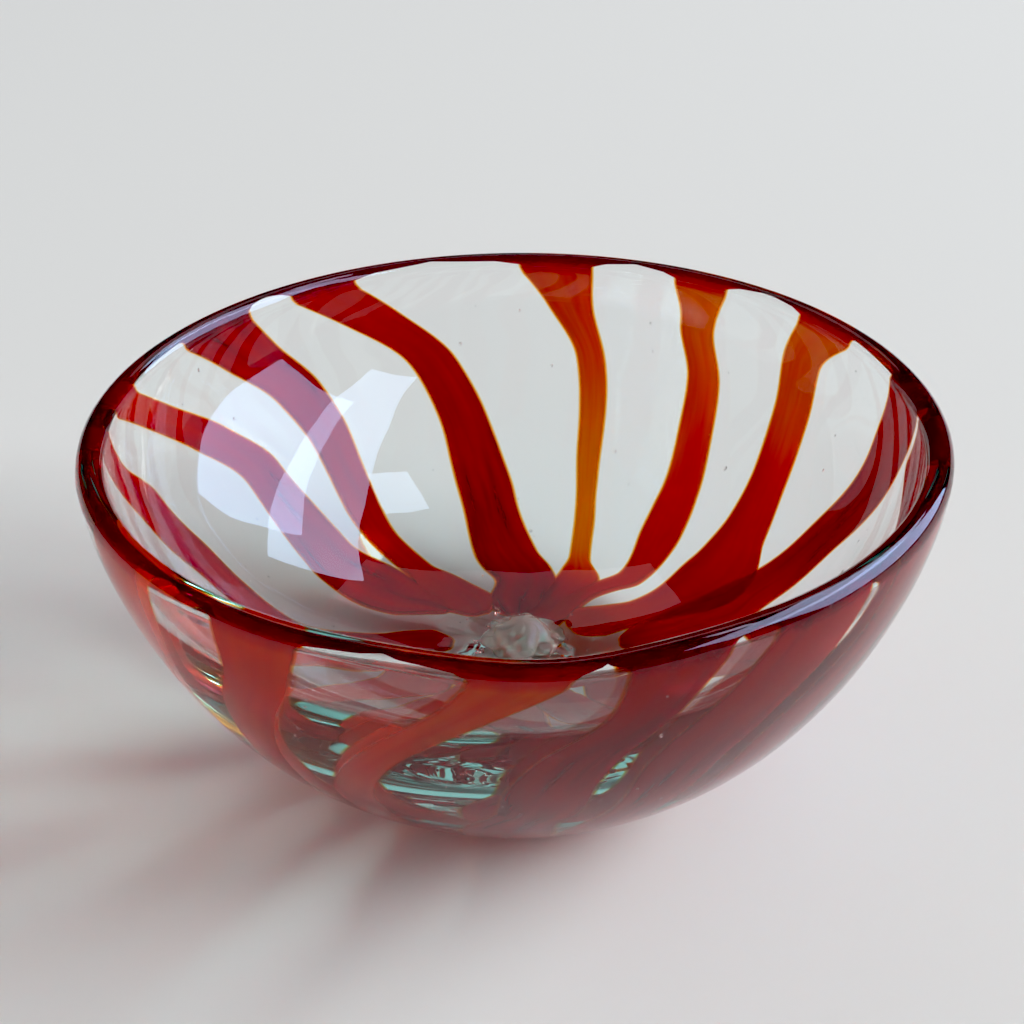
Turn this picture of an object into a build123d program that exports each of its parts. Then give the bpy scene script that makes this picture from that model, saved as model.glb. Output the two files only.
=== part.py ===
"""Blown art-glass bowl: two clear gathers with fifteen swirling colour ribbons between them.

Units are millimetres, +Z is up, and the origin is the middle of the face the bowl rests on.
"""
import os
from math import cos, radians, sin

from build123d import *

# ---------------------------------------------------------------- driving dimensions
RIM_RADIUS = 75.0          # outside radius at the lip
BOWL_HEIGHT = 66.5         # table to the crest of the lip
LIP_RADIUS = 2.4           # the fire-polished lip is a full round
FOOT_RADIUS = 20.0         # flat face the bowl rests on
FLOOR_Z = 18.0             # inside floor above the table, in the middle

RIBBON_OUT_FLOOR = 12.5    # underside of the ribbon layer at the middle
RIBBON_IN_FLOOR = 15.0     # top of the ribbon layer at the middle
RIBBON_OUT_RADIUS = 73.5   # outside of the ribbon layer at the lip
RIBBON_IN_RADIUS = 71.8    # inside of the ribbon layer at the lip
RIBBON_TOP_GAP = 0.6       # clear glass between the end of a ribbon and the crest of the lip
RIBBON_END_RADIUS = 11.4   # the ribbons stop just short of the knot
CUTTER_DEPTH = 12.0        # depth of a ribbon cutter through the wall

KNOT_RADIUS = 8.0          # the knot of clear glass in the floor
KNOT_CENTER = (1.2, 2.2)   # it isn't quite in the middle
KNOT_LOBES = 6
KNOT_LOBE_DEPTH = 0.09     # depth of a lobe as a share of the radius

# Wall stations, as the angle up the bowl's curve: 90 is the lip, 0 is the middle of the floor.
STATIONS = (90, 78, 66, 54, 42, 30, 20, 12)

# Each ribbon at the wall stations: angle round the bowl and half width, both in degrees.
RIBBONS = (
    ((82.1, 79.9, 75.4, 73.8, 72.3, 68.8, 64.5, 62), (6.0, 4.1, 2.9, 3.0, 3.0, 3.4, 4.5, 5.2)),
    ((57.1, 57.1, 53.8, 51.2, 47.8, 43.7, 40.2, 48), (5.2, 3.3, 3.5, 4.1, 5.1, 7.0, 5.9, 7.5)),
    ((31.9, 35.6, 33.8, 30.5, 25.2, 22.2, 20.1, 24), (5.5, 4.2, 4.4, 4.9, 7.3, 8.2, 8.1, 11)),
    ((7.7, 7.5, 6.5, 6.9, 5.0, 0, -1, 0), (6.7, 6.0, 5.7, 5.6, 6.7, 11.8, 11, 11.2)),
    ((-7, -7, -21, -29, -30, -24, -25.5, -25), (6.5, 6.5, 7, 7.5, 7.8, 10.5, 11.2, 11)),
    ((-30, -36, -45, -50.5, -51, -51, -48, -47), (8.5, 8.5, 8.3, 7.8, 7.5, 8, 9, 9.5)),
    ((-51, -57, -64, -67.5, -68, -70, -70, -70), (8.5, 9.2, 9.2, 8.2, 8.0, 8.5, 10, 10.5)),
    ((-71, -75, -82, -85.5, -87, -92, -93, -94), (6.8, 5.6, 6.6, 7.6, 8.5, 9, 10.5, 11)),
    ((-88, -97, -106, -112.5, -117, -119, -118, -117), (6.5, 3.9, 3.4, 3.6, 4.6, 5.5, 8.5, 10)),
    ((-120.5, -122, -126.2, -129.5, -132.5, -138, -141, -140), (6.6, 5.2, 5, 4.6, 5, 6.5, 8.5, 10.5)),
    ((-147, -147, -149, -152, -156, -160.5, -161.5, -162), (6.5, 6.5, 6.8, 6.5, 6.5, 6.8, 7.8, 9.2)),
    ((-175, -178, -181.8, -181.8, -178.5, -174, -177.8, -184), (4, 3.5, 4.9, 4.9, 5, 4.5, 5, 10)),
    ((-187.1, -197, -206.5, -212.3, -211.6, -208.7, -210.1, -213), (4.6, 4.2, 4.8, 4.9, 6.6, 9.5, 13, 9)),
    ((-215.1, -221.4, -228.2, -230.6, -229.7, -227.7, -230, -237), (7.4, 5.8, 5.1, 4.6, 4.9, 5, 5.3, 12)),
    ((-236.5, -245.7, -254.8, -259, -261.2, -263, -265.9, -275.5), (5.3, 5.3, 4.6, 5.1, 6.7, 8.8, 12, 16)),
)

# Inside the last wall station all the ribbons turn together: station and further turn.
FOOT_TURNS = ((6, -5.0), (2, -10.0), (0, -12.0))


# ---------------------------------------------------------------- curves of the wall
def wall_point(angle, top_radius, floor_z, flat_radius, fullness):
    """Point (radius, height) of a wall curve; angle runs from 0 at the floor to 90 at the lip."""
    top_z = BOWL_HEIGHT - LIP_RADIUS
    radius = flat_radius + (top_radius - flat_radius) * sin(radians(angle))
    height = floor_z + (top_z - floor_z) * (1 - max(cos(radians(angle)), 0.0) ** fullness)
    return radius, height


OUTSIDE = (RIM_RADIUS, 0.0, FOOT_RADIUS, 1.30)
RIBBON_OUT = (RIBBON_OUT_RADIUS, RIBBON_OUT_FLOOR, 9.2, 1.135)
RIBBON_IN = (RIBBON_IN_RADIUS, RIBBON_IN_FLOOR, 7.8, 1.07)
RIBBON_MID = ((RIBBON_OUT_RADIUS + RIBBON_IN_RADIUS) / 2, (RIBBON_OUT_FLOOR + RIBBON_IN_FLOOR) / 2,
              8.5, 1.10)
INSIDE = (RIM_RADIUS - 2 * LIP_RADIUS, FLOOR_Z, 4.0, 1.0)


def wall_curve(wall):
    """Smooth half profile of one wall surface, from its flat at the floor up to the lip."""
    points = [wall_point(angle, *wall) for angle in range(0, 91, 10)]
    return Spline(*points, tangents=((1, 0), (0, 1)))


def spin(*edges):
    """Solid of revolution about Z from the edges of a closed half profile in the XZ plane."""
    return revolve(Plane.XZ * make_face(Curve() + list(edges)), Axis.Z)


def bowl_body():
    """The whole bowl of glass, with the full-round lip."""
    outside = wall_curve(OUTSIDE)
    inside = wall_curve(INSIDE)
    lip = ThreePointArc(outside @ 1, (RIM_RADIUS - LIP_RADIUS, BOWL_HEIGHT), inside @ 1)
    underside = Line((0, 0), outside @ 0)
    floor = Line(inside @ 0, (0, FLOOR_Z))
    axis = Line((0, FLOOR_Z), (0, 0))
    return spin(underside, outside, lip, inside, floor, axis)


def core(wall, top_z):
    """Everything inside one wall surface, up to a level top."""
    curve = wall_curve(wall)
    start = curve @ 0
    end = curve @ 1
    return spin(
        Line((0, start.Y), start),
        curve,
        Line(end, (end.X, top_z)),
        Line((end.X, top_z), (0, top_z)),
        Line((0, top_z), (0, start.Y)),
    )


# ---------------------------------------------------------------- ribbons
def ribbon_section(station, angle, half_width, lift=0.0):
    """Cross-section of a ribbon cutter, square to the wall at one station."""
    radius, height = wall_point(station, *RIBBON_MID)
    ahead = wall_point(min(station + 1, 90), *RIBBON_MID)
    behind = wall_point(max(station - 1, 0), *RIBBON_MID)
    turn = radians(angle)
    out = Vector(cos(turn), sin(turn), 0)
    across = Vector(-sin(turn), cos(turn), 0)
    along = out * (ahead[0] - behind[0]) + Vector(0, 0, ahead[1] - behind[1])
    plane = Plane(out * radius + Vector(0, 0, height + lift), x_dir=across, z_dir=along)
    return plane * Rectangle(2 * radius * sin(radians(half_width)), CUTTER_DEPTH)


def ribbon_band(index):
    """Curved band that marks out one ribbon, from above the lip to inside the knot."""
    angles, half_widths = RIBBONS[index]
    sections = [ribbon_section(STATIONS[0], angles[0], half_widths[0], lift=4.0)]
    for station, angle, half_width in zip(STATIONS, angles, half_widths):
        sections.append(ribbon_section(station, angle, half_width))
    for station, turn in FOOT_TURNS:
        sections.append(ribbon_section(station, angles[-1] + turn, half_widths[-1]))
    return loft(sections)


# ---------------------------------------------------------------- the knot
def knot_section(height, radius, turn):
    """One lobed level of the twisted knot."""
    points = []
    count = KNOT_LOBES * 4
    for step in range(count):
        angle = 360.0 * step / count
        lobe = 1 - KNOT_LOBE_DEPTH * (1 - cos(radians(KNOT_LOBES * angle))) / 2
        spot = radians(angle + turn)
        points.append((
            KNOT_CENTER[0] + radius * lobe * cos(spot),
            KNOT_CENTER[1] + radius * lobe * sin(spot),
        ))
    return Plane.XY.offset(height) * make_face(Spline(*points, periodic=True))


def knot():
    """Clear glass pinched and twisted in the middle of the floor."""
    return loft([
        knot_section(RIBBON_OUT_FLOOR, KNOT_RADIUS * 0.80, 0),
        knot_section(15.5, KNOT_RADIUS * 0.98, 10),
        knot_section(18.5, KNOT_RADIUS * 0.86, 26),
        knot_section(20.4, KNOT_RADIUS * 0.58, 46),
        knot_section(21.3, KNOT_RADIUS * 0.22, 62),
    ])


# ---------------------------------------------------------------- put the bowl together
def build():
    """All the sub-parts, by node name."""
    glass = bowl_body()
    above = BOWL_HEIGHT + 10
    under_casing = core(RIBBON_OUT, above)
    over_gather = core(RIBBON_IN, above)
    ribbon_zone = Pos(0, 0, (BOWL_HEIGHT - RIBBON_TOP_GAP) / 2) * (
        Cylinder(RIM_RADIUS + 20, BOWL_HEIGHT - RIBBON_TOP_GAP)
        - Cylinder(RIBBON_END_RADIUS, BOWL_HEIGHT)
    )

    parts = {}
    gather = (glass & under_casing) - knot()
    for index in range(len(RIBBONS)):
        groove = (ribbon_band(index) & ribbon_zone) - over_gather
        gather -= groove
        parts[f"ribbon_{index + 1:02d}"] = groove & under_casing
    parts["inner_gather"] = gather
    parts["outer_casing"] = glass - under_casing
    parts["center_knot"] = knot()
    return parts


if __name__ == "__main__":
    os.makedirs("parts", exist_ok=True)
    for node, shape in build().items():
        solids = shape.solids()
        print(node, len(solids), "solid(s)", round(sum(s.volume for s in solids), 1), "mm3")
        export_step(shape, f"parts/{node}.step")
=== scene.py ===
"""Art glass bowl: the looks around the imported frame.

The clear glass is one closed skin with air only outside it and in its bubbles, so light bends once at
each real surface of the bowl.  Fifteen colour ribbons and the twisted knot lie inside it.  Shapes are
worked out in millimetres in the frame of the CAD, and mesh_object turns them into metres.
"""
import math
import random

import bpy
from mathutils import Matrix, Vector, noise


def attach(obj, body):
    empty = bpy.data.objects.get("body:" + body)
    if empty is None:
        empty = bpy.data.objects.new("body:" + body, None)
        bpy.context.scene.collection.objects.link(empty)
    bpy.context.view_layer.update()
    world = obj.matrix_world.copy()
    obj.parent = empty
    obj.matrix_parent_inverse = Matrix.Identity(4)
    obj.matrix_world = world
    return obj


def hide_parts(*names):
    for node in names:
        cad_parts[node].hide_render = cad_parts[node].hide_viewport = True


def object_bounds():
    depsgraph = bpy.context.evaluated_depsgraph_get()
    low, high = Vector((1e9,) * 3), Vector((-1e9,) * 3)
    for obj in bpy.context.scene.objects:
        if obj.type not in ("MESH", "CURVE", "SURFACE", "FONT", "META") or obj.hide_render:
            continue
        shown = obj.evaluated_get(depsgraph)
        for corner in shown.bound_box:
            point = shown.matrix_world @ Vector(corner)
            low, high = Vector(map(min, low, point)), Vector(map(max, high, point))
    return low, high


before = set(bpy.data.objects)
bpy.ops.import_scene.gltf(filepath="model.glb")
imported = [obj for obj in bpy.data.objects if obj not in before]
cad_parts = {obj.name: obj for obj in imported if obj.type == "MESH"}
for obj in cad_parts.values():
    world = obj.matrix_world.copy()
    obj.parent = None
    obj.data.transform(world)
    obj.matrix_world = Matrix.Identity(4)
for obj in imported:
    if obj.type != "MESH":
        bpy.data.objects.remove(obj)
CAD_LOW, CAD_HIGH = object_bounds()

MM = 0.001
rng = random.Random(20690)

# ---------------------------------------------------------------- sizes, from the frame and the CAD
RIM = CAD_HIGH.x / MM
HEIGHT = CAD_HIGH.z / MM
LIP = 2.4                       # radius of the full-round lip
LIP_LEVEL = HEIGHT - LIP
SKIN_GAP = 0.04                 # the visual skin keeps this far inside the CAD skin
FOOT_GAP = 0.02                 # and this far above the CAD's underside
KNOT_CENTER = (1.2, 2.2)
LIP_DIP = (274.0, 13.0, 1.6)    # the lip sags a little here: angle, spread in degrees, depth in mm
DIP_HEIGHTS = (44.0, 64.0)      # the sag grows between these heights

# Walls: radius at the lip, height in the middle, radius of the flat, fullness of the curve.
OUTSIDE = (RIM - SKIN_GAP, FOOT_GAP, 20.0, 1.30)
RIBBON_MID = (72.65, 13.75, 8.5, 1.10)
RIBBON_OUT = (73.5, 12.5, 9.2, 1.135)
RIBBON_IN = (71.8, 15.0, 7.8, 1.07)
INSIDE = (RIM - 2 * LIP, 18.0, 4.0, 1.0)

# Wall stations, as the angle up the bowl's curve: 90 is the lip, 0 is the middle of the floor.
STATIONS = (90, 78, 66, 54, 42, 36, 30, 20, 16, 12, 7)
STRIKE_STATIONS = (90, 66, 44, 24, 12)

# Each ribbon at STATIONS: angle round the bowl and half width in degrees, then at STRIKE_STATIONS how
# deeply the colour has struck (0 amber, 1 plum), then the station where the ribbon ends.
RIBBONS = (
    ((83.0, 79.9, 75.4, 73.8, 72.3, 70.9, 68.8, 64.3, 59.8, 61, 62),
     (6.9, 4.1, 2.9, 3.0, 3.0, 3.0, 3.4, 4.8, 10.3, 11, 16), (0.42, 0.32, 0.12, 0.08, 0.85), -5),
    ((57.1, 57.1, 53.8, 51.2, 47.8, 45.9, 43.7, 40.2, 44.8, 50.8, 56),
     (5.2, 3.3, 3.5, 4.1, 5.1, 6.2, 7.0, 5.9, 5.8, 7.3, 13), (0.14, 0.34, 0.52, 0.70, 0.70), 0),
    ((31.2, 35.6, 33.8, 30.5, 25.2, 19.7, 17.2, 18.1, 19.6, 22.8, 29),
     (6.4, 4.2, 4.4, 4.9, 7.3, 11.7, 13.2, 10.1, 9.6, 12.8, 21), (0.16, 0.34, 0.68, 0.80, 0.55), 3),
    ((7.7, 7.5, 6.5, 6.9, 5.0, 3.9, 0.5, 0, 0, 0, 0),
     (6.7, 6.0, 5.7, 5.6, 6.7, 8.1, 13.5, 14, 14, 14, 14), (0.88, 0.92, 0.88, 0.80, 0.80), 10),
    ((-7, -7, -21, -29, -30, -27, -23.5, -25, -25, -25, -25),
     (7.5, 7.5, 7, 7.5, 7.8, 9, 12.5, 13, 13, 13, 13), (0.85, 0.90, 0.90, 0.88, 0.85), 12),
    ((-30, -36, -45, -50.5, -51, -51, -51, -48, -47, -47, -47),
     (8.2, 8.0, 7.3, 6.8, 6.6, 7.2, 9, 12, 12.5, 13, 13), (0.86, 0.90, 0.90, 0.88, 0.85), 10),
    ((-51, -57, -64, -67.5, -68, -69, -70, -70, -70, -70, -70),
     (8.0, 8.2, 8.0, 7.1, 6.9, 7.5, 9, 12, 13, 13, 13), (0.84, 0.90, 0.90, 0.88, 0.85), 8),
    ((-71, -75, -82, -85.5, -87, -90, -92, -93, -94, -94, -94),
     (6.6, 5.2, 6.0, 6.9, 7.6, 8.2, 10, 12.5, 13, 13, 13), (0.80, 0.90, 0.92, 0.88, 0.85), 7),
    ((-88, -97, -106, -112.5, -117, -118, -119, -118, -117.5, -117, -117),
     (6.5, 3.9, 3.4, 3.6, 4.6, 5, 5.8, 9.5, 11, 13, 13), (0.28, 0.42, 0.60, 0.76, 0.82), 5),
    ((-120.5, -122, -126.2, -129.5, -132.5, -135, -138, -141, -140.5, -140, -140),
     (6.6, 5.2, 5, 4.6, 5, 5.6, 6.5, 9.5, 11.5, 13, 13), (0.44, 0.60, 0.68, 0.74, 0.80), 6),
    ((-147, -147, -149, -152, -156, -158.5, -161, -162, -162, -162, -162),
     (6.5, 6.5, 6.8, 6.5, 6.5, 6.7, 7, 9.5, 11, 12, 13), (0.34, 0.46, 0.60, 0.74, 0.80), 5),
    ((-175, -178, -181.8, -181.8, -178, -174.3, -172, -175.4, -177.5, -180.8, -185),
     (4, 3.5, 4.9, 4.9, 5, 5.3, 5.1, 6.4, 7.5, 10.8, 15), (0.78, 0.86, 0.92, 0.92, 0.88), 3),
    ((-187.1, -197, -206.5, -212.3, -211.6, -210.4, -208.7, -211, -213.1, -218, -223.5),
     (4.6, 4.2, 4.8, 4.9, 6.6, 7.9, 9.5, 14, 13.9, 12, 11.5), (0.55, 0.84, 0.92, 0.90, 0.88), 8),
    ((-214.3, -221.2, -228.2, -230.6, -229.7, -228.6, -227.7, -229.6, -231.5, -234.2, -240),
     (8.2, 6.0, 5.1, 4.6, 4.9, 5, 5, 6.2, 10.5, 14.3, 20), (0.90, 0.90, 0.86, 0.66, 0.86), 4),
    ((-235.7, -245.5, -254.8, -259, -261.2, -262.2, -263, -266.3, -271, -276.1, -273),
     (6.2, 5.5, 4.6, 5.1, 6.7, 7.8, 8.8, 12.7, 16, 17.9, 25), (0.66, 0.78, 0.86, 0.92, 0.92), 2),
)

# Small unevenness of hand-worked glass: depth in mm, size in mm and seed of each wave of noise.
WAVES = {
    "scar": ((0.90, 3.4, 5.1), (0.35, 1.5, 8.3)),
    "outside": ((0.10, 24.0, 11.3), (0.03, 9.0, 17.9)),
    "inside": ((0.16, 21.0, 3.1), (0.05, 8.0, 7.7)),
    "floor": ((0.40, 4.2, 6.6),),
    "crumple": ((0.55, 2.6, 2.3), (0.22, 1.1, 4.9)),
}


# ---------------------------------------------------------------- small helpers
def smooth_curve(xs, ys):
    """Monotone piecewise cubic through the points, as a function."""
    count = len(xs)
    steps = [xs[i + 1] - xs[i] for i in range(count - 1)]
    slopes = [(ys[i + 1] - ys[i]) / steps[i] for i in range(count - 1)]
    tangents = [slopes[0]]
    for i in range(1, count - 1):
        if slopes[i - 1] * slopes[i] <= 0:
            tangents.append(0.0)
        else:
            a = 2 * steps[i] + steps[i - 1]
            b = steps[i] + 2 * steps[i - 1]
            tangents.append((a + b) / (a / slopes[i - 1] + b / slopes[i]))
    tangents.append(slopes[-1])

    def value(x):
        x = min(max(x, xs[0]), xs[-1])
        i = 0
        while i < count - 2 and x > xs[i + 1]:
            i += 1
        h = steps[i]
        t = (x - xs[i]) / h
        return (
            ys[i] * (1 + 2 * t) * (1 - t) ** 2
            + tangents[i] * h * t * (1 - t) ** 2
            + ys[i + 1] * t * t * (3 - 2 * t)
            + tangents[i + 1] * h * t * t * (t - 1)
        )

    return value


def along_ribbon(stations, values):
    """Smooth value at any station, from values given from the lip down."""
    return smooth_curve(tuple(reversed(stations)), tuple(reversed(values)))


def share(value, start, end):
    """How far a value has come from start to end, held between 0 and 1."""
    return min(1.0, max(0.0, (value - start) / (end - start)))


def wall_point(station, wall):
    """(radius, height) in mm of a wall at a station; 0 is the floor and 90 the lip."""
    top_radius, floor_z, flat_radius, fullness = wall
    rise = 1 - max(math.cos(math.radians(station)), 0.0) ** fullness
    radius = flat_radius + (top_radius - flat_radius) * math.sin(math.radians(station))
    return radius, floor_z + (LIP_LEVEL - floor_z) * rise


def round_directions(turn):
    """Unit vectors outwards and round the bowl at a turn in radians."""
    return Vector((math.cos(turn), math.sin(turn), 0)), Vector((-math.sin(turn), math.cos(turn), 0))


def dip(turn, height):
    """How far the sag of the lip lowers a point, in mm; turn is in degrees."""
    angle, spread, depth = LIP_DIP
    away = (turn - angle + 180) % 360 - 180
    near_lip = share(height, *DIP_HEIGHTS)
    return depth * math.exp(-((away / spread) ** 2)) * near_lip * near_lip * (3 - 2 * near_lip)


def waves(point, kind):
    """Sum of the waves of one kind at a point, in mm."""
    total = 0.0
    for depth, size, seed in WAVES[kind]:
        total += depth * noise.noise(Vector(point) / size + Vector((seed, seed * 1.7, -seed)))
    return total


def mesh_object(name, verts, faces, material, smooth=True):
    """Adds a mesh made in millimetres to the scene."""
    mesh = bpy.data.meshes.new(name)
    mesh.from_pydata([Vector(v) * MM for v in verts], [], faces)
    mesh.materials.append(material)
    if smooth:
        mesh.shade_smooth()
    mesh.update()
    obj = bpy.data.objects.new(name, mesh)
    bpy.context.scene.collection.objects.link(obj)
    return obj


# ---------------------------------------------------------------- materials
GLASS_ABSORPTION = (0.22, 0.84, 0.76)   # thick clear glass is sea green
STRIKE_TOP = 1.1                        # the deepest strike on the colour ramp

# Colour inside a ribbon, by strike.
STRIKE_COLOURS = (
    (0.0, (0.95, 0.300, 0.005)),
    (0.2, (0.93, 0.170, 0.003)),
    (0.4, (0.88, 0.070, 0.002)),
    (0.6, (0.75, 0.014, 0.001)),
    (0.8, (0.63, 0.005, 0.018)),
    (0.92, (0.55, 0.005, 0.040)),
    (STRIKE_TOP, (0.15, 0.008, 0.026)),
)

# Colour of the thin amber border of a ribbon, by distance from its edge as a share of BORDER_MM.
BORDER_MM = 2.0
BORDER_COLOURS = (
    (0.0, (1.0, 0.86, 0.60)),
    (0.12, (1.0, 0.56, 0.12)),
    (0.26, (0.95, 0.30, 0.02)),
    (0.45, (0.88, 0.10, 0.005)),
)


def new_material(name):
    """A material with a Principled shader on its surface: material, tree, shader and output."""
    material = bpy.data.materials.new(name)
    material.use_nodes = True
    tree = material.node_tree
    tree.nodes.clear()
    out = tree.nodes.new("ShaderNodeOutputMaterial")
    shader = tree.nodes.new("ShaderNodeBsdfPrincipled")
    tree.links.new(shader.outputs["BSDF"], out.inputs["Surface"])
    return material, tree, shader, out


def mesh_attribute(tree, name):
    """Node that reads a value stored on the mesh."""
    node = tree.nodes.new("ShaderNodeAttribute")
    node.attribute_name = name
    return node


def math_node(tree, operation, source, *numbers):
    """Output of a Math node with one linked input and the rest plain numbers."""
    node = tree.nodes.new("ShaderNodeMath")
    node.operation = operation
    tree.links.new(source, node.inputs[0])
    for place, number in enumerate(numbers, start=1):
        node.inputs[place].default_value = number
    return node


def map_range(tree, source, from_range, to_range=(0.0, 1.0), interpolation="SMOOTHSTEP"):
    """Output of a Map Range node."""
    node = tree.nodes.new("ShaderNodeMapRange")
    node.interpolation_type = interpolation
    node.inputs["From Min"].default_value, node.inputs["From Max"].default_value = from_range
    node.inputs["To Min"].default_value, node.inputs["To Max"].default_value = to_range
    tree.links.new(source, node.inputs["Value"])
    return node.outputs["Result"]


def colour_ramp(tree, source, stops, interpolation):
    """Output of a colour ramp with stops of (position, colour)."""
    node = tree.nodes.new("ShaderNodeValToRGB")
    node.color_ramp.interpolation = interpolation
    elements = node.color_ramp.elements
    while len(elements) < len(stops):
        elements.new(0.5)
    for element, (position, colour) in zip(elements, stops):
        element.position = position
        element.color = (*colour, 1)
    tree.links.new(source, node.inputs["Fac"])
    return node.outputs["Color"]


def clear_glass(name, density=8.3, ior=1.5, clarity=1.0, tint=(1.0, 1.0, 1.0)):
    """Clear glass that turns green with depth; a clarity under 1 makes it partly milky."""
    material, tree, shader, out = new_material(name)
    shader.inputs["Base Color"].default_value = (*tint, 1)
    shader.inputs["Roughness"].default_value = 0.0
    shader.inputs["IOR"].default_value = ior
    shader.inputs["Transmission Weight"].default_value = clarity
    volume = tree.nodes.new("ShaderNodeVolumeAbsorption")
    volume.inputs["Color"].default_value = (*GLASS_ABSORPTION, 1)
    volume.inputs["Density"].default_value = density
    tree.links.new(volume.outputs["Volume"], out.inputs["Volume"])
    return material


def ribbon_glass(name):
    """Colour from two things stored on the mesh: how deeply it struck, which at the crest of the lip is
    painted shade, and the distance to the edge.
    """
    material, tree, shader, _ = new_material(name)
    shader.inputs["Roughness"].default_value = 0.0
    shader.inputs["IOR"].default_value = 1.0
    shader.inputs["Specular IOR Level"].default_value = 0.0

    # Streaks along the flow of the glass lighten and deepen the strike.
    streaks = tree.nodes.new("ShaderNodeTexNoise")
    streaks.inputs["Scale"].default_value = 1.0
    streaks.inputs["Detail"].default_value = 3.0
    streaks.inputs["Roughness"].default_value = 0.55
    tree.links.new(mesh_attribute(tree, "flow").outputs["Vector"], streaks.inputs["Vector"])
    spread = math_node(tree, "MULTIPLY_ADD", streaks.outputs["Fac"], 0.52, -0.26)
    total = math_node(tree, "ADD", mesh_attribute(tree, "strike_and_lip_shade").outputs["Fac"])
    tree.links.new(spread.outputs["Value"], total.inputs[1])
    depth = math_node(tree, "DIVIDE", total.outputs["Value"], STRIKE_TOP)
    stops = [(position / STRIKE_TOP, colour) for position, colour in STRIKE_COLOURS]
    core = colour_ramp(tree, depth.outputs["Value"], stops, "B_SPLINE")

    edge = mesh_attribute(tree, "edge_mm").outputs["Fac"]
    from_edge = map_range(tree, edge, (0.0, BORDER_MM), interpolation="LINEAR")
    border = colour_ramp(tree, from_edge, BORDER_COLOURS, "LINEAR")
    mix = tree.nodes.new("ShaderNodeMix")
    mix.data_type = "RGBA"
    tree.links.new(map_range(tree, edge, (0.30, 0.90)), mix.inputs["Factor"])
    tree.links.new(border, mix.inputs["A"])
    tree.links.new(core, mix.inputs["B"])
    tree.links.new(mix.outputs["Result"], shader.inputs["Base Color"])

    clarity = map_range(tree, edge, (0.10, 1.10), (1.0, 0.60))
    tree.links.new(clarity, shader.inputs["Transmission Weight"])
    return material


def floor_paint(name):
    """Plain matt pale floor."""
    material, _, shader, _ = new_material(name)
    shader.inputs["Base Color"].default_value = (0.80, 0.79, 0.77, 1)
    shader.inputs["Roughness"].default_value = 0.9
    shader.inputs["Specular IOR Level"].default_value = 0.1
    return material


GLASS = clear_glass("bowl_clear_glass")
KNOT_GLASS = clear_glass("knot_clear_glass", density=14.0, ior=1.25, clarity=0.70, tint=(0.93, 1.0, 0.93))
RIBBON_GLASS = ribbon_glass("bowl_ribbon_glass")


# ---------------------------------------------------------------- clear glass body
AROUND = 288                    # steps round the bowl
WALL_STEPS = 60                 # steps up each wall
LIP_STEPS = 18                  # steps over the lip
FOOT_RINGS = 23                 # rings of the underside
FOOT_STEP = 0.8                 # mm from one to the next
SKIN_DRAW = 0.12                # the outer wall and the lip are drawn in by this, to keep inside the CAD
INNER_DRAW = 0.10               # the inner wall is drawn in by this
FOOT_HOLD = (2.0, 12.0)         # the waves of the outer wall grow between these heights
LIP_HOLD = (LIP_LEVEL, LIP_LEVEL - 8.0)     # those of the inner wall grow downwards between these
SLOPE_HEIGHTS = (0.0, 40.0)     # between these heights a push on the inner wall turns from up to sideways
SCAR_EDGE = (14.5, 9.5)         # the pontil scar underneath rises between these radii
SCAR_DEPTH = 0.90
FLOOR_EDGE = (15.0, 9.0)        # the floor gets rougher between these radii
SEED_DETAIL = 6                 # steps from pole to pole of a bubble
WALL_SEEDS = 170
WALL_SEED_STATIONS = (14, 84)
WALL_SEED_DEPTHS = ((0.12, 0.34), (0.72, 0.88))     # shares of the wall, on either side of the ribbons
KNOT_SEEDS = 46
KNOT_SEED_RADII = (2.5, 17.0)
KNOT_SEED_LOW = 13.2            # height of the lowest in mm
KNOT_SEED_RISE = 3.8            # from the lowest to the highest


def body_profile():
    """Half profile in mm from the middle of the underside over the lip to the middle of the floor."""
    points = [(FOOT_STEP * step, FOOT_GAP, "foot") for step in range(1, FOOT_RINGS + 1)]
    for step in range(WALL_STEPS + 1):
        points.append((*wall_point(90 * step / WALL_STEPS, OUTSIDE), "outside"))
    mid_radius = (OUTSIDE[0] + INSIDE[0]) / 2
    half_width = (OUTSIDE[0] - INSIDE[0]) / 2
    for step in range(1, LIP_STEPS):
        turn = math.pi * step / LIP_STEPS
        rise = (LIP - SKIN_GAP) * math.sin(turn)
        points.append((mid_radius + half_width * math.cos(turn), LIP_LEVEL + rise, "lip"))
    for step in range(WALL_STEPS, -1, -1):
        points.append((*wall_point(90 * step / WALL_STEPS, INSIDE), "inside"))
    points.append((INSIDE[2] / 2, INSIDE[1], "inside"))
    return points


def uneven(point, out, radius, height, zone):
    """Shifts a point of the skin, because blown glass is never quite round; out is outwards."""
    if zone == "foot":
        point.z += share(radius, *SCAR_EDGE) * (SCAR_DEPTH + waves(point, "scar"))
    elif zone == "outside":
        point -= out * share(height, *FOOT_HOLD) * (SKIN_DRAW + waves(point, "outside"))
    elif zone == "lip":
        point -= out * SKIN_DRAW
    else:
        push = share(height, *LIP_HOLD) * (INNER_DRAW + waves(point, "inside"))
        slope = share(height, *SLOPE_HEIGHTS)
        point -= out * push * slope
        point.z += push * (1 - slope)
        point.z += waves(point, "floor") * share(radius, *FLOOR_EDGE)
    return point


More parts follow.
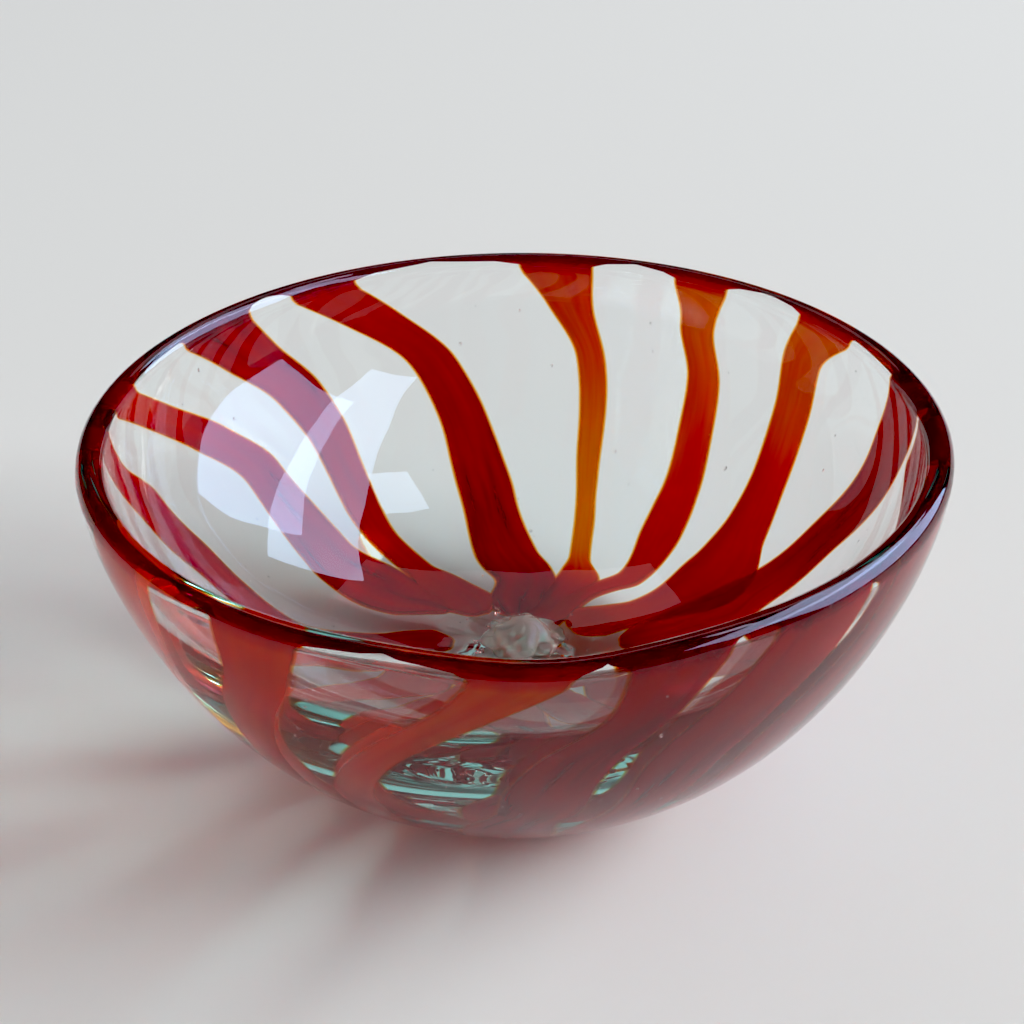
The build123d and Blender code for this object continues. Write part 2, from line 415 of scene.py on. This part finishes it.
def add_void(verts, faces, rings, low_pole, high_pole):
    """Adds a closed cavity, its faces looking into the cavity."""
    base = len(verts)
    count = len(rings[0])
    for ring in rings:
        verts.extend(ring)
    low = len(verts)
    verts.append(low_pole)
    high = len(verts)
    verts.append(high_pole)
    for i in range(len(rings) - 1):
        for j in range(count):
            a = base + i * count + j
            b = base + i * count + (j + 1) % count
            faces.append((a, a + count, b + count, b))
    last = base + (len(rings) - 1) * count
    for j in range(count):
        k = (j + 1) % count
        faces.append((base + j, base + k, low))
        faces.append((last + k, last + j, high))


def bubble(verts, faces, centre, radii, axes):
    """Adds an ellipsoid cavity."""
    rings = []
    for i in range(1, SEED_DETAIL):
        polar = math.pi * i / SEED_DETAIL
        ring = []
        for j in range(2 * SEED_DETAIL):
            turn = math.pi * j / SEED_DETAIL
            local = (
                axes[0] * (radii[0] * math.sin(polar) * math.cos(turn))
                + axes[1] * (radii[1] * math.sin(polar) * math.sin(turn))
                - axes[2] * (radii[2] * math.cos(polar))
            )
            ring.append(centre + local)
        rings.append(ring)
    add_void(verts, faces, rings, centre - axes[2] * radii[2], centre + axes[2] * radii[2])


def wall_frame(turn, station, depth):
    """A point in the wall (depth 0 outside, 1 inside) with its round, normal and upward directions."""
    out_r, out_z = wall_point(station, OUTSIDE)
    in_r, in_z = wall_point(station, INSIDE)
    radius = out_r + (in_r - out_r) * depth
    height = out_z + (in_z - out_z) * depth
    out, around = round_directions(turn)
    here = wall_point(station, RIBBON_OUT)
    ahead = wall_point(station + 1, RIBBON_OUT)
    along = out * (ahead[0] - here[0]) + Vector((0, 0, ahead[1] - here[1]))
    along.normalize()
    return out * radius + Vector((0, 0, height)), (around, around.cross(along), along)


def add_wall_seeds(verts, faces):
    """Fine bubbles all through the wall, drawn out a little along it."""
    for _ in range(WALL_SEEDS):
        turn = rng.uniform(0, 2 * math.pi)
        station = rng.uniform(*WALL_SEED_STATIONS)
        depth = rng.choice([rng.uniform(*depths) for depths in WALL_SEED_DEPTHS])
        size = 0.10 + 0.26 * rng.random() ** 3
        stretch = 1 + 0.8 * rng.random()
        centre, axes = wall_frame(turn, station, depth)
        bubble(verts, faces, centre, (size, size * 0.9, size * stretch), axes)


def add_knot_seeds(verts, faces):
    """More and larger bubbles round the knot, wider than they are high."""
    for _ in range(KNOT_SEEDS):
        turn = rng.uniform(0, 2 * math.pi)
        radius = rng.uniform(*KNOT_SEED_RADII)
        size = 0.12 + 0.40 * rng.random() ** 2.5
        height = KNOT_SEED_LOW + rng.uniform(0.0, KNOT_SEED_RISE)
        out, around = round_directions(turn)
        centre = Vector((*KNOT_CENTER, height)) + out * radius
        bubble(verts, faces, centre, (size * 1.5, size, size * 0.8), (around, out, Vector((0, 0, 1))))


def build_body():
    """The one skin of the whole bowl, with its bubbles."""
    profile = body_profile()
    verts = []
    faces = []
    for radius, height, zone in profile:
        for j in range(AROUND):
            turn = 2 * math.pi * j / AROUND
            out, _ = round_directions(turn)
            point = uneven(out * radius + Vector((0, 0, height)), out, radius, height, zone)
            point.z -= dip(math.degrees(turn), height)
            verts.append(point)
    rows = len(profile)
    for i in range(rows - 1):
        for j in range(AROUND):
            a = i * AROUND + j
            b = i * AROUND + (j + 1) % AROUND
            faces.append((a, b, b + AROUND, a + AROUND))
    bottom = len(verts)
    verts.append(Vector((0, 0, FOOT_GAP + SCAR_DEPTH)))
    floor = len(verts)
    verts.append(Vector((0, 0, INSIDE[1])))
    top = (rows - 1) * AROUND
    for j in range(AROUND):
        k = (j + 1) % AROUND
        faces.append((k, j, bottom))
        faces.append((top + j, top + k, floor))
    add_wall_seeds(verts, faces)
    add_knot_seeds(verts, faces)
    body = mesh_object("clear_glass_body", verts, faces, GLASS)
    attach(body, "root")
    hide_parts("outer_casing", "inner_gather")


build_body()


# ---------------------------------------------------------------- ribbons
LIP_START = 87                  # above this station a ribbon runs up into the lip
LIP_STATIONS = (90, 89.75, 89.5, 89, 88.5, 88, 87.5)
LIP_RISE = 1.8                  # how far the colour runs up into the lip, in mm
LIP_PAINTED_SHADE = 1.35               # the crest of the lip is painted the deepest plum, as painted shade for the dark band along the lip
WALL_ROWS = 90
RIBBON_FILL = 0.44              # half the thickness of a ribbon as a share of its layer
END_ROWS = 4.0                  # the thickness runs out over this many rows at each end
END_SHARE = 0.15                # the very end has this share of a row's thickness
TAPER_ROWS = 7.0                # the width runs out over this many rows at the lower end
TAPER_SHARE = 0.4
FOOT_RIBBON_RADIUS = 16.3       # inside this radius a ribbon keeps its width in mm
WANDER = (0.35, 6.0)            # a ribbon strays from its line: degrees, and waves down its length
WAVER = (0.05, 7.0)             # its width changes: share of the width, and waves down its length
SEED_STEP = 5.3                 # from one ribbon's noise to the next
STREAKS_ACROSS = 2.6            # scale of the streaks across half a ribbon
STREAK_LENGTH = 24.0            # and along it, in mm
TAIL_RIBBON = 0                 # the tail of this ribbon is drawn up over the knot
TAIL_CLIMB = 6.0                # by this, in mm
TAIL_STATIONS = (3, -5)
HALF_MM = 4.0                   # usual half width, for the places across
EDGE_MARKS = (0.0, 0.12, 0.26, 0.42, 0.60, 0.85, 1.2, 1.8)      # places in mm from the edge
MIDDLE_PLACES = 7
LIP_OVERLAP = 0.6               # neighbours run over each other by this in the lip, in degrees
FLARE = (0.60, 0.22)            # the spread in the lip: share where it starts, and how long it takes
SAG_FLARE = (-0.14, 0.04)       # what is added to both on the side where the lip sags
LIP_EDGE_MM = 3.0               # keeps the amber border out of the lip
END_EDGE_MM = 0.7               # distance from the lower edge that each row counts for


def ribbon_across():
    """Places across a ribbon from -1 to 1, close together at its edges."""
    left = [-1 + mark / HALF_MM for mark in EDGE_MARKS]
    inner = left[-1]
    middle = [inner - 2 * inner * i / MIDDLE_PLACES for i in range(1, MIDDLE_PLACES)]
    return left + middle + [-place for place in reversed(left)]


def ribbon_stations(final):
    """Stations from the crest of the lip down to the end, a little closer together there."""
    stations = list(LIP_STATIONS)
    for step in range(WALL_ROWS + 1):
        stations.append(LIP_START + (final - LIP_START) * (1 - (1 - step / WALL_ROWS) ** 1.1))
    return stations


def ribbon_layer(station):
    """Direction of the wall in its half profile, and the thickness of the ribbon layer in mm."""
    ahead = wall_point(min(station + 0.5, 90), RIBBON_MID)
    behind = wall_point(station - 0.5, RIBBON_MID)
    slope = Vector((ahead[0] - behind[0], ahead[1] - behind[1])).normalized()
    out_r, out_z = wall_point(station, RIBBON_OUT)
    in_r, in_z = wall_point(station, RIBBON_IN)
    return slope, abs((out_r - in_r) * slope[1] - (out_z - in_z) * slope[0])


def lip_reach(index):
    """How far the colour of a ribbon spreads either way in the crest of the lip, in degrees."""
    centre, half = RIBBONS[index][0][0], RIBBONS[index][1][0]
    reach = []
    for step in (1, -1):
        other = (index + step) % len(RIBBONS)
        gap = (step * (centre - RIBBONS[other][0][0])) % 360
        reach.append(max(half, half + (gap - half - RIBBONS[other][1][0]) / 2 + LIP_OVERLAP))
    return reach


def lip_flare(index):
    """Shares of the way into the lip where the spread starts and is full; lower at the sagging side."""
    sagging = max(0.0, -math.sin(math.radians(RIBBONS[index][0][0])))
    start, length = (plain + extra * sagging for plain, extra in zip(FLARE, SAG_FLARE))
    return start, start + length


def ribbon_faces(rows, width):
    """Faces of a closed strip whose every row has an outer and an inner line of points."""
    faces = []
    row = 2 * width
    for i in range(rows):
        a = i * row
        b = a + row
        for j in range(width - 1):
            faces.append((a + j, b + j, b + j + 1, a + j + 1))
            faces.append((a + width + j, a + width + j + 1, b + width + j + 1, b + width + j))
        faces.append((a, a + width, b + width, b))
        faces.append((a + width - 1, b + width - 1, b + row - 1, a + row - 1))
    last_row = rows * row
    for j in range(width - 1):
        faces.append((j, j + 1, width + j + 1, width + j))
        faces.append((last_row + j, last_row + width + j, last_row + width + j + 1, last_row + j + 1))
    return faces


def build_ribbon(index):
    """One lens-shaped ribbon, with the values that its colour is made from."""
    angles, halves, strikes, final = RIBBONS[index]
    angle_at = along_ribbon(STATIONS, angles)
    half_at = along_ribbon(STATIONS, halves)
    strike_at = along_ribbon(STRIKE_STATIONS, strikes)
    after, before = lip_reach(index)
    climb = TAIL_CLIMB if index == TAIL_RIBBON else 0.0
    across = ribbon_across()
    stations = ribbon_stations(final)
    rows = len(stations) - 1
    seed = SEED_STEP * index
    length = 0.0
    last = wall_point(stations[0], RIBBON_MID)
    verts = []
    strike_and_lip_shade = []
    edge_mm = []
    flow = []
    for i, station in enumerate(stations):
        t = i / rows
        to_end = rows - i
        radius, height = wall_point(station, RIBBON_MID)
        length += math.hypot(radius - last[0], height - last[1])
        last = (radius, height)
        slope, layer = ribbon_layer(station)
        ends = min(1.0, (i + END_SHARE) / END_ROWS) * min(1.0, (to_end + END_SHARE) / END_ROWS)
        thick = RIBBON_FILL * layer * math.sqrt(ends)
        centre = angle_at(station) + WANDER[0] * noise.noise(Vector((seed, t * WANDER[1], 0.0)))
        half = half_at(station) * (1 + WAVER[0] * noise.noise(Vector((seed, 9.0, t * WAVER[1]))))
        taper = min(1.0, (to_end + TAPER_SHARE) / TAPER_ROWS) ** 0.5
        half *= max(1.0, FOOT_RIBBON_RADIUS / radius) * taper
        half_mm = radius * math.radians(half)
        into_lip = share(station, LIP_START, 90)
        flare = share(into_lip, *lip_flare(index))
        lift = LIP_RISE * into_lip
        tail = climb * share(station, *TAIL_STATIONS) ** 2
        from_end = END_EDGE_MM * to_end + 0.05
        struck = strike_at(station)
        for side in (1, -1):
            for place in across:
                reach = half + ((after if place < 0 else before) - half) * flare
                turn = math.radians(centre + reach * place)
                bulge = thick * (1 - abs(place) ** 3) ** 0.5
                r = radius + side * bulge * slope[1]
                z = height + lift - side * bulge * slope[0]
                z += tail - dip(math.degrees(turn), z)
                verts.append((r * math.cos(turn), r * math.sin(turn), z))
                edge_mm.append(min((1 - abs(place)) * half_mm + LIP_EDGE_MM * flare, from_end))
                # towards the crest of the lip the colour runs to the deepest plum: painted shade for the
                # dark band along the lip
                strike_and_lip_shade.append(struck + (LIP_PAINTED_SHADE - struck) * into_lip)
                flow.extend((place * STREAKS_ACROSS, length / STREAK_LENGTH, seed))
    name = f"ribbon_{index + 1:02d}"
    obj = mesh_object(f"colour_{name}", verts, ribbon_faces(rows, len(across)), RIBBON_GLASS)
    attributes = obj.data.attributes
    attributes.new("strike_and_lip_shade", "FLOAT", "POINT").data.foreach_set("value", strike_and_lip_shade)
    attributes.new("edge_mm", "FLOAT", "POINT").data.foreach_set("value", edge_mm)
    attributes.new("flow", "FLOAT_VECTOR", "POINT").data.foreach_set("vector", flow)
    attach(obj, "root")
    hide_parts(name)


for index in range(len(RIBBONS)):
    build_ribbon(index)


# ---------------------------------------------------------------- centre knot
KNOT_AROUND = 96
KNOT_LEVELS = 40
KNOT_LOW = 13.0
KNOT_HIGH = 21.0
KNOT_SWELL = 8.6                # widest radius before the lobes are cut in
KNOT_TWIST = 1.5                # radians from the foot of the knot to its top
KNOT_LOBES = (6, 0.10)          # number of lobes, and their depth as a share of the radius
KNOT_FINE_LOBES = (11, 0.05)


def knot_radius(t, turn):
    """Radius of the knot at a share t of its height: deep lobes with finer ones between."""
    swell = KNOT_SWELL * (1 - t ** 2.4) ** 0.5 * (0.80 + 0.20 * math.sin(math.pi * min(1.0, 1.3 * t)))
    deep = KNOT_LOBES[1] * (1 - math.cos(KNOT_LOBES[0] * turn)) / 2
    fine = KNOT_FINE_LOBES[1] * (1 - math.cos(KNOT_FINE_LOBES[0] * turn + 1.0)) / 2
    return max(swell * (1 - deep - fine), 0.02)


def build_knot():
    """The pinched and twisted lump of glass in the floor."""
    verts = []
    for i in range(KNOT_LEVELS + 1):
        t = i / KNOT_LEVELS
        height = KNOT_LOW + (KNOT_HIGH - KNOT_LOW) * t
        fade = math.sin(math.pi * share(t * 1.05, 0, 1))
        for j in range(KNOT_AROUND):
            turn = 2 * math.pi * j / KNOT_AROUND
            out, _ = round_directions(turn + KNOT_TWIST * t * t)
            point = out * knot_radius(t, turn) + Vector((0, 0, height))
            point += (out + Vector((0, 0, 0.6))) * waves(point, "crumple") * fade
            verts.append(point + Vector((*KNOT_CENTER, 0)))
    faces = []
    for i in range(KNOT_LEVELS):
        for j in range(KNOT_AROUND):
            a = i * KNOT_AROUND + j
            b = i * KNOT_AROUND + (j + 1) % KNOT_AROUND
            faces.append((a, b, b + KNOT_AROUND, a + KNOT_AROUND))
    top = KNOT_LEVELS * KNOT_AROUND
    faces.append(tuple(reversed(range(KNOT_AROUND))))
    faces.append(tuple(range(top, top + KNOT_AROUND)))
    obj = mesh_object("twisted_knot", verts, faces, KNOT_GLASS)
    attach(obj, "root")
    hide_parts("center_knot")


build_knot()

# ---------------------------------------------------------------- stage
FLOOR_RADIUS = 12000            # in mm
FLOOR_DROP = 0.03
FLOOR_CORNERS = 96


def build_stage():
    """A wide round floor just under the bowl."""
    rim = []
    for step in range(FLOOR_CORNERS):
        out, _ = round_directions(2 * math.pi * step / FLOOR_CORNERS)
        rim.append(out * FLOOR_RADIUS - Vector((0, 0, FLOOR_DROP)))
    paint = floor_paint("stage_floor")
    mesh_object("stage_floor", rim, [tuple(range(FLOOR_CORNERS))], paint, smooth=False)


build_stage()

# ---------------------------------------------------------------- light
scene = bpy.context.scene


def build_world():
    """Pale surroundings, brighter behind and below the bowl than in front and above; not reflected."""
    world = bpy.data.worlds.new("studio")
    scene.world = world
    world.use_nodes = True
    world.cycles_visibility.glossy = False
    tree = world.node_tree
    background = tree.nodes["Background"]
    background.inputs["Color"].default_value = (0.90, 0.95, 1.0, 1)
    direction = tree.nodes.new("ShaderNodeTexCoord")
    away = tree.nodes.new("ShaderNodeVectorMath")
    away.operation = "DOT_PRODUCT"
    away.inputs[1].default_value = (0.0, 0.8, -0.4)
    tree.links.new(direction.outputs["Generated"], away.inputs[0])
    glow = map_range(tree, away.outputs["Value"], (-0.7, 0.7), (0.26, 0.60))
    tree.links.new(glow, background.inputs["Strength"])


build_world()

LIGHT_TARGET = Vector((0, 0, 0.04))
WINDOW_DISTANCE = 8.0
WINDOW_POWER = 880.0
WINDOW_COLOUR = (0.985, 0.995, 1.0)
SHINE_DISTANCE = 2.5

# Panels that are seen only in the gloss of the glass: azimuth and elevation in degrees, width and
# height in metres, radiance, colour.
SHINES = (
    ("window_shine", 12, 28, 2.6, 1.9, 7.0, (0.44, 0.64, 1.0)),
    ("window_top_shine", 8, 52, 4.0, 0.9, 6.6, (0.50, 0.68, 1.0)),
    ("lamp_shine", 31, 66, 0.6, 0.35, 6.0, (0.60, 0.76, 1.0)),
    ("sky_shine", 88, 45, 1.5, 0.7, 0.8, (1.0, 0.94, 1.0)),
)


def area_light(name, azimuth, elevation, distance, width, height, power, colour):
    """A rectangular light that faces the bowl and that the camera doesn't see."""
    data = bpy.data.lights.new(name, "AREA")
    data.shape = "RECTANGLE"
    data.size = width
    data.size_y = height
    data.energy = power
    data.color = colour
    obj = bpy.data.objects.new(name, data)
    out, _ = round_directions(math.radians(azimuth))
    rise = math.radians(elevation)
    place = (out * math.cos(rise) + Vector((0, 0, math.sin(rise)))) * distance
    obj.location = place + LIGHT_TARGET
    obj.rotation_euler = (-place).to_track_quat("-Z", "Y").to_euler()
    obj.visible_camera = False
    scene.collection.objects.link(obj)
    return obj


window = area_light("window", 4, 27, WINDOW_DISTANCE, 6.4, 3.2, WINDOW_POWER, WINDOW_COLOUR)
window.visible_glossy = False
for label, azimuth, elevation, width, height, radiance, colour in SHINES:
    power = radiance * math.pi * width * height
    shine = area_light(label, azimuth, elevation, SHINE_DISTANCE, width, height, power, colour)
    shine.visible_diffuse = False
    shine.visible_transmission = False

# ---------------------------------------------------------------- camera
CAMERA_PLACE = Vector((0.0, -0.2594, 0.1996))
PITCH = math.radians(30.63)     # downwards
YAW = math.radians(-0.12)
ROLL = math.radians(-0.66)
FIELD = math.radians(34.0)      # full angle of view
SENSOR = 36.0


def build_camera():
    """The camera, turned by its pitch, yaw and roll."""
    data = bpy.data.cameras.new("camera")
    data.sensor_width = SENSOR
    data.lens = SENSOR / 2 / math.tan(FIELD / 2)
    data.clip_start = 0.01
    obj = bpy.data.objects.new("camera", data)
    ahead = Vector((
        math.cos(PITCH) * math.sin(YAW), math.cos(PITCH) * math.cos(YAW), -math.sin(PITCH),
    ))
    right = ahead.cross(Vector((0, 0, 1))).normalized()
    up = right.cross(ahead)
    right_rolled = right * math.cos(ROLL) + up * math.sin(ROLL)
    up_rolled = up * math.cos(ROLL) - right * math.sin(ROLL)
    basis = Matrix((right_rolled, up_rolled, -ahead)).transposed()
    obj.matrix_world = Matrix.Translation(CAMERA_PLACE) @ basis.to_4x4()
    scene.collection.objects.link(obj)
    scene.camera = obj


build_camera()

# ---------------------------------------------------------------- tone and light paths
BLACK_LEVEL = 0.018             # deepens the reds

scene.view_settings.view_transform = "Standard"
scene.view_settings.use_curve_mapping = True
scene.view_settings.curve_mapping.black_level = (BLACK_LEVEL,) * 3
scene.view_settings.curve_mapping.update()
scene.cycles.max_bounces = 40
scene.cycles.transmission_bounces = 40
scene.cycles.glossy_bounces = 12
scene.cycles.diffuse_bounces = 4
scene.cycles.transparent_max_bounces = 16
scene.cycles.caustics_reflective = True
scene.cycles.caustics_refractive = True
scene.cycles.blur_glossy = 0.0
scene.cycles.sample_clamp_indirect = 20.0
scene.cycles.use_denoising = True
